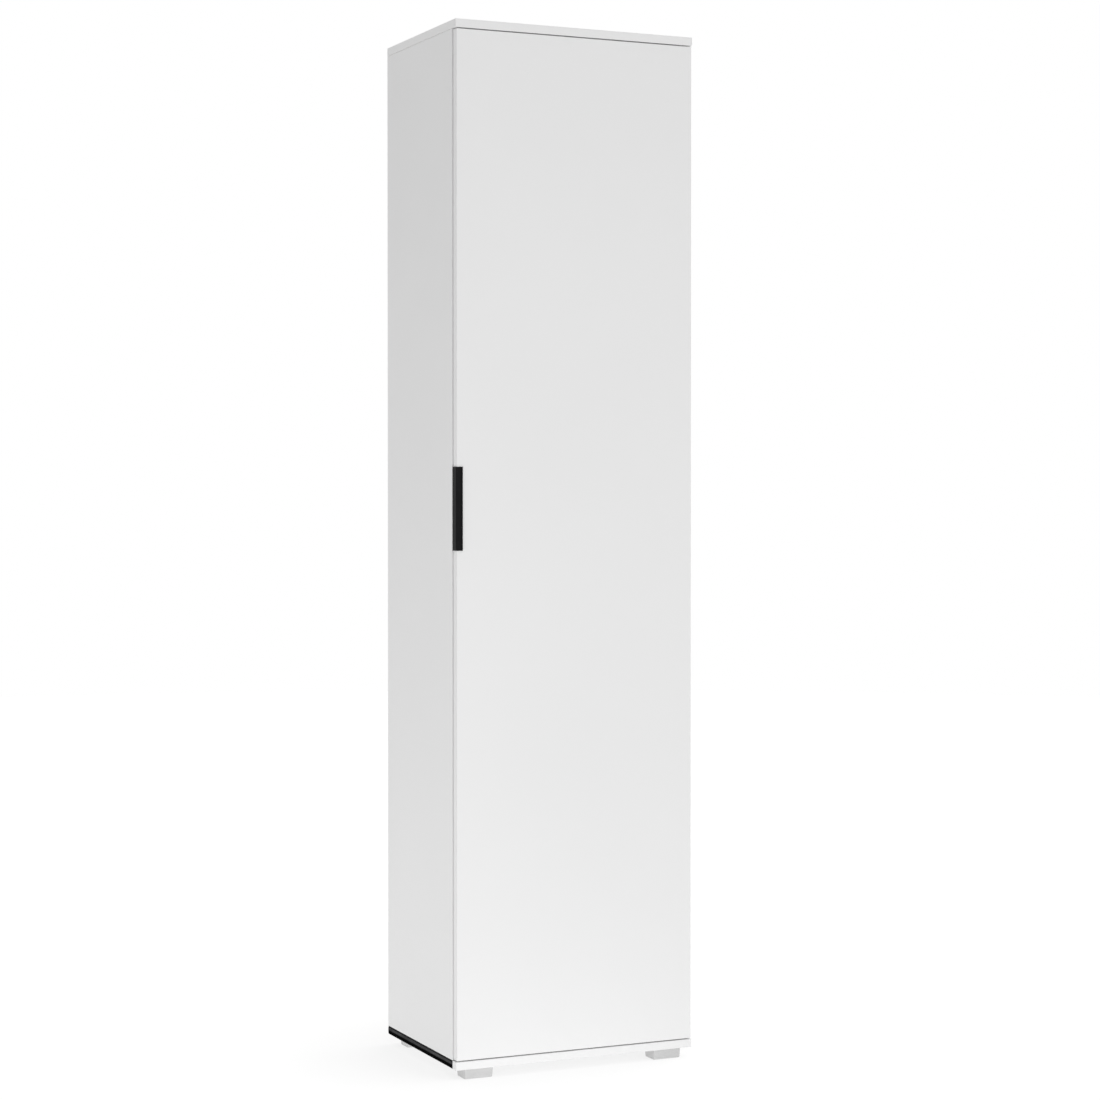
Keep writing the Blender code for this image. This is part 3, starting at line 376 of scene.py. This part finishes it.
def coat_material():
    """Black powder coat: fine orange peel and thinner, glossier coat on the edges."""
    shader = Shader("black_powder_coat")
    worn = shader.edges(radius=0.0005)
    patches = shader.cloud(scale=40.0, detail=3.0, rough=0.6)
    base = shader.mix(patches, scaled(BLACK_COAT, 0.85), scaled(BLACK_COAT, 1.15))
    base = shader.mix_part(worn, base, scaled(BLACK_COAT, 2.2), part=0.25)
    peel = shader.cells(scale=1400.0, feature="SMOOTH_F1")
    height = shader.maths("ADD", peel, shader.maths("MULTIPLY", shader.noise(scale=2600.0, rough=0.6), 0.5))
    satin = shader.cloud(scale=120.0, detail=3.0, rough=0.6, low=0.42, high=0.52)
    shader.set(Base_Color=base, Roughness=shader.rubbed(satin, worn, by=0.10),
               Normal=shader.bump(height, strength=0.35, distance=0.00008), Specular_IOR_Level=0.05)
    return shader.material


def rubber_material():
    """Pale, slightly clear rubber of the door's bumpers."""
    shader = Shader("clear_rubber")
    patches = shader.cloud(scale=300.0, detail=3.0, rough=0.6)
    shader.set(Base_Color=shader.mix(patches, scaled(RUBBER, 0.95), RUBBER),
               Roughness=shader.cloud(scale=700.0, low=0.28, high=0.36),
               Normal=shader.bump(shader.noise(scale=1500.0), strength=0.15, distance=0.00003),
               Subsurface_Weight=0.3, Subsurface_Scale=0.002)
    return shader.material


def dress():
    """Gives every CAD node its material by the record's slots."""
    slots = {row["node"]: row["material_slot"] for row in frame["record"]["subparts"]}
    made = {
        "white_hardboard": hardboard_material(),
        "black_plastic": plastic_material("black_plastic", BLACK_PLASTIC, roughness=0.34, grain=1500.0,
                                          grain_height=0.00003, wear=0.2),
        "grey_plastic": plastic_material("grey_plastic", GREY_PLASTIC, roughness=0.48, grain=1100.0,
                                         grain_height=0.00006, wear=0.3),
        "black_metal": coat_material(),
        "nickel_steel": metal_material("nickel_plate", NICKEL, roughness=0.24, stretch=(1.0, 1.0, 0.08)),
        "zinc_steel": metal_material("zinc_plate", ZINC, roughness=0.34, stretch=(0.10, 1.0, 1.0)),
        "pale_rubber": rubber_material(),
    }
    for name, obj in frame["nodes"].items():
        if slots[name] == "white_board":
            material = board_material(name)
        elif name.startswith("base_strip"):
            material = strip_material(name)
        else:
            material = made[slots[name]]
        if not obj.material_slots:
            obj.data.materials.append(material)
        for holder in obj.material_slots:
            holder.material = material
    return made


def turned(bm, profile, sides):
    """Revolves (radius, height) points about +Z, with the ends on the axis."""
    rings = []
    for radius, height in profile:
        angles = [2 * math.pi * i / sides for i in range(sides if radius else 1)]
        rings.append([bm.verts.new((radius * math.cos(a), radius * math.sin(a), height)) for a in angles])
    for lower, upper in zip(rings, rings[1:]):
        for i in range(sides):
            j = (i + 1) % sides
            corners = [ring[k % len(ring)] for ring, k in ((lower, i), (lower, j), (upper, j), (upper, i))]
            bm.faces.new(list(dict.fromkeys(corners)))


def cross_outline(reach, half):
    """The twelve corners of a plus sign."""
    arm = [(half, half), (half, reach), (-half, reach)]
    points = []
    for turn in range(4):
        cosine, sine = math.cos(turn * math.pi / 2), math.sin(turn * math.pi / 2)
        points += [(cosine * x - sine * y, sine * x + cosine * y) for x, y in arm]
    return points


def set_on(bm, name, material, place, facing, body, turn):
    """Makes the piece, with its local +Z facing outwards from its place on a CAD body."""
    bmesh.ops.recalc_face_normals(bm, faces=bm.faces)
    mesh = bpy.data.meshes.new(name)
    bm.to_mesh(mesh)
    bm.free()
    mesh.materials.append(material)
    mesh.shade_smooth()
    mesh.set_sharp_from_angle(angle=math.radians(SHARP_ANGLE))
    obj = bpy.data.objects.new(name, mesh)
    bpy.context.scene.collection.objects.link(obj)
    obj.rotation_mode = "QUATERNION"
    outwards = Vector(facing).to_track_quat("Z", "Y")
    obj.rotation_quaternion = outwards @ Quaternion((0, 0, 1), math.radians(turn))
    obj.location = place
    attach(obj, body)


def drive(name, dark, place, facing, radius, body, turn):
    """A cross recess on a screw head or cam, drawn as a thin inlay that is dark with painted shade."""
    bm = bmesh.new()
    outline = cross_outline(radius * DRIVE_REACH, radius * DRIVE_HALF)
    low = [bm.verts.new((x, y, -DRIVE_SINK)) for x, y in outline]
    high = [bm.verts.new((x * DRIVE_TAPER, y * DRIVE_TAPER, DRIVE_RISE)) for x, y in outline]
    bm.faces.new(low[::-1])
    bm.faces.new(high)
    for i in range(len(low)):
        j = (i + 1) % len(low)
        bm.faces.new((low[i], low[j], high[j], high[i]))
    set_on(bm, name, dark, place, facing, body, turn)


def cam(name, metal, dark, place, facing, turn):
    """A cam fitting pressed into a board: a rimmed disc with a cross recess."""
    bm = bmesh.new()
    turned(bm, [(radius, share * CAM_RISE) for radius, share in CAM_OUTLINE], CAM_SIDES)
    set_on(bm, name, metal, place, facing, "carcass", turn)
    at = Vector(place) + Vector(facing).normalized() * CAM_RISE * CAM_DRIVE_RISE
    drive(name + "_drive", dark, at, facing, CAM_DRIVE, "carcass", turn)


def cams(metal, dark):
    """Fittings inside: in the sides under the top and over the bottom, and under the fixed shelf."""
    shelf_low, shelf_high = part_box("fixed_shelf")
    side_low, side_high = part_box("side_panel_left")
    inner = abs(side_high.x)
    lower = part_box("bottom_panel")[1].z + CAM_FROM_JOINT
    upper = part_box("top_panel")[0].z - CAM_FROM_JOINT
    turn = 0
    for end, along in (("front", side_low.y + CAM_FROM_FRONT), ("rear", shelf_high.y - CAM_FROM_REAR)):
        for side, word in ((-1, "left"), (1, "right")):
            for level, height in (("lower", lower), ("upper", upper)):
                turn += CAM_TURN
                at = (side * inner, along, height)
                cam(f"cam_{level}_{word}_{end}", metal, dark, at, (-side, 0, 0), turn)
            turn += CAM_TURN
            at = (side * (shelf_high.x - CAM_FROM_JOINT), along, shelf_low.z)
            cam(f"cam_shelf_{word}_{end}", metal, dark, at, (0, 0, -1), turn)


def drives(dark):
    """Cross recesses on every screw head that shows, turned by different numbers of degrees."""
    for word in ("lower", "middle", "upper"):
        low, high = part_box("hinge_plate_" + word)
        middle = (low.z + high.z) / 2
        cup_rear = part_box("hinge_cup_" + word)[1].y
        for side, end in ((-1, "low"), (1, "high")):
            at = (PLATE_HEAD_FACE, PLATE_SCREW_DEPTH, middle + side * PLATE_SCREW_STEP)
            drive(f"plate_drive_{word}_{end}", dark, at, (-1, 0, 0), SCREW_HEAD, "carcass",
                  turn=20 + 31 * side)
            at = (CUP_SCREW_ACROSS, cup_rear, middle + side * CUP_SCREW_STEP)
            drive(f"cup_drive_{word}_{end}", dark, at, (0, 1, 0), SCREW_HEAD, "door",
                  turn=12 + 23 * side)
        for end, along, turn in (("rear", ARM_SCREW_REAR, 45), ("front", ARM_SCREW_FRONT, 10)):
            at = (ARM_HEAD_FACE, along, middle)
            drive(f"arm_drive_{word}_{end}", dark, at, (-1, 0, 0), ARM_SCREW_HEAD, "carcass", turn)
    for word in ("lower", "upper"):
        low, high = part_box("handle_screw_" + word)
        at = ((low.x + high.x) / 2, high.y, (low.z + high.z) / 2)
        drive("handle_drive_" + word, dark, at, (0, 1, 0), SMALL_HEAD, "door", turn=30)
    low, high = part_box("bracket_screw")
    at = ((low.x + high.x) / 2, (low.y + high.y) / 2, low.z)
    drive("bracket_drive", dark, at, (0, 0, -1), SMALL_HEAD, "carcass", turn=15)


def area_lamp(name, place, aim, size, power):
    """A rectangular lamp that shows in no reflection."""
    data = bpy.data.lights.new(name, "AREA")
    data.shape = "RECTANGLE"
    data.size, data.size_y = size
    data.energy = power
    lamp = bpy.data.objects.new(name, data)
    lamp.location = place
    lamp.rotation_euler = (Vector(aim) - Vector(place)).to_track_quat("-Z", "Y").to_euler()
    lamp.visible_glossy = False
    bpy.context.scene.collection.objects.link(lamp)


def seen_share(tree):
    """1 for what the camera, a mirror or a glass sees, 0 for light that falls on things."""
    path = tree.nodes.new("ShaderNodeLightPath")
    either = add_node(tree, "Math", {0: path.outputs["Is Camera Ray"], 1: path.outputs["Is Glossy Ray"]},
                      operation="MAXIMUM")
    all_three = add_node(tree, "Math", {0: either.outputs[0], 1: path.outputs["Is Transmission Ray"]},
                         operation="MAXIMUM")
    return all_three.outputs[0]


def choose_seen(tree, output, thrown, seen):
    """Shows one shader to the camera and in reflections, and lights things with the other."""
    choice = add_node(tree, "MixShader", {0: seen_share(tree), 1: thrown, 2: seen})
    add_node(tree, output, {0: choice.outputs[0]})


def world():
    """White to look at, and an even light at a lower level."""
    made = bpy.data.worlds.new("studio")
    made.use_nodes = True
    tree = made.node_tree
    tree.nodes.clear()
    white = add_node(tree, "Background", {"Color": WHITE, "Strength": 1.0})
    light = add_node(tree, "Background", {"Color": WHITE, "Strength": WORLD_LEVEL})
    choose_seen(tree, "OutputWorld", light.outputs[0], white.outputs[0])
    bpy.context.scene.world = made


def floor_seen(tree):
    """The floor to look at: nearly white, greyer in a painted shadow where the cupboard covers it."""
    lean = tree.nodes.new("ShaderNodeNormal")
    lean.outputs["Normal"].default_value = Vector(FLOOR_SHADOW_LEAN).normalized()
    # Painted shadow: the glow drops where occlusion by the cupboard, leaned towards one side, is high.
    unshadowed = add_node(tree, "AmbientOcclusion", {"Distance": FLOOR_SHADOW_REACH,
                                                "Normal": lean.outputs["Normal"]})
    level = add_node(tree, "MapRange", {"Value": unshadowed.outputs["AO"], "To Min": FLOOR_GLOW_IN_SHADOW,
                                        "To Max": FLOOR_GLOW})
    shade = add_node(tree, "BsdfDiffuse", {"Color": FLOOR_SHADE})
    glow = add_node(tree, "Emission", {"Color": WHITE, "Strength": level.outputs[0]})
    return add_node(tree, "AddShader", {0: shade.outputs[0], 1: glow.outputs[0]}).outputs[0]


def floor_thrown(tree):
    """The floor as a light: the bounce of a white floor, and the soft patch on the left."""
    place = tree.nodes.new("ShaderNodeTexCoord")
    ends = {0: place.outputs["Object"], 1: FLOOR_LIGHT_PLACE}
    away = add_node(tree, "VectorMath", ends, operation="DISTANCE").outputs["Value"]
    fade = {"Value": away, "From Max": FLOOR_LIGHT_REACH, "To Min": FLOOR_LIGHT, "To Max": 0.0}
    level = add_node(tree, "MapRange", fade, interpolation_type="SMOOTHSTEP")
    bounce = add_node(tree, "BsdfDiffuse", {"Color": FLOOR_BOUNCE})
    lit = add_node(tree, "Emission", {"Strength": level.outputs[0]})
    return add_node(tree, "AddShader", {0: bounce.outputs[0], 1: lit.outputs[0]}).outputs[0]


def floor():
    """A white studio floor with the cupboard's soft shadow, a little of it from the lamps and most of it
    painted.
    """
    angles = [2 * math.pi * i / FLOOR_SIDES for i in range(FLOOR_SIDES)]
    ring = [(FLOOR_RADIUS * math.cos(a), FLOOR_RADIUS * math.sin(a), 0.0) for a in angles]
    mesh = bpy.data.meshes.new("studio_floor")
    mesh.from_pydata(ring, [], [list(range(FLOOR_SIDES))])
    material = bpy.data.materials.new("studio_floor")
    material.use_nodes = True
    tree = material.node_tree
    tree.nodes.clear()
    choose_seen(tree, "OutputMaterial", floor_thrown(tree), floor_seen(tree))
    mesh.materials.append(material)
    obj = bpy.data.objects.new("studio_floor", mesh)
    bpy.context.scene.collection.objects.link(obj)


def camera():
    """The photograph's camera, level but for a slight look down."""
    data = bpy.data.cameras.new("camera")
    data.sensor_width = SENSOR
    data.lens = FOCAL_PIXELS * SENSOR / PICTURE
    data.shift_y = CAMERA_SHIFT
    data.clip_start = CLIP_NEAR
    data.clip_end = CLIP_FAR
    obj = bpy.data.objects.new("camera", data)
    obj.location = CAMERA_PLACE
    obj.rotation_euler = (math.radians(90 - CAMERA_DOWN), 0.0, math.radians(-CAMERA_YAW))
    bpy.context.scene.collection.objects.link(obj)
    bpy.context.scene.camera = obj


finishes = dress()
# The cross recesses' dark metal is painted shade.
recess = recess_shade_material()
cams(finishes["zinc_steel"], recess)
drives(recess)
world()
floor()
for lamp in LAMPS:
    area_lamp(*lamp)
camera()
bpy.context.scene.view_settings.view_transform = "Standard"
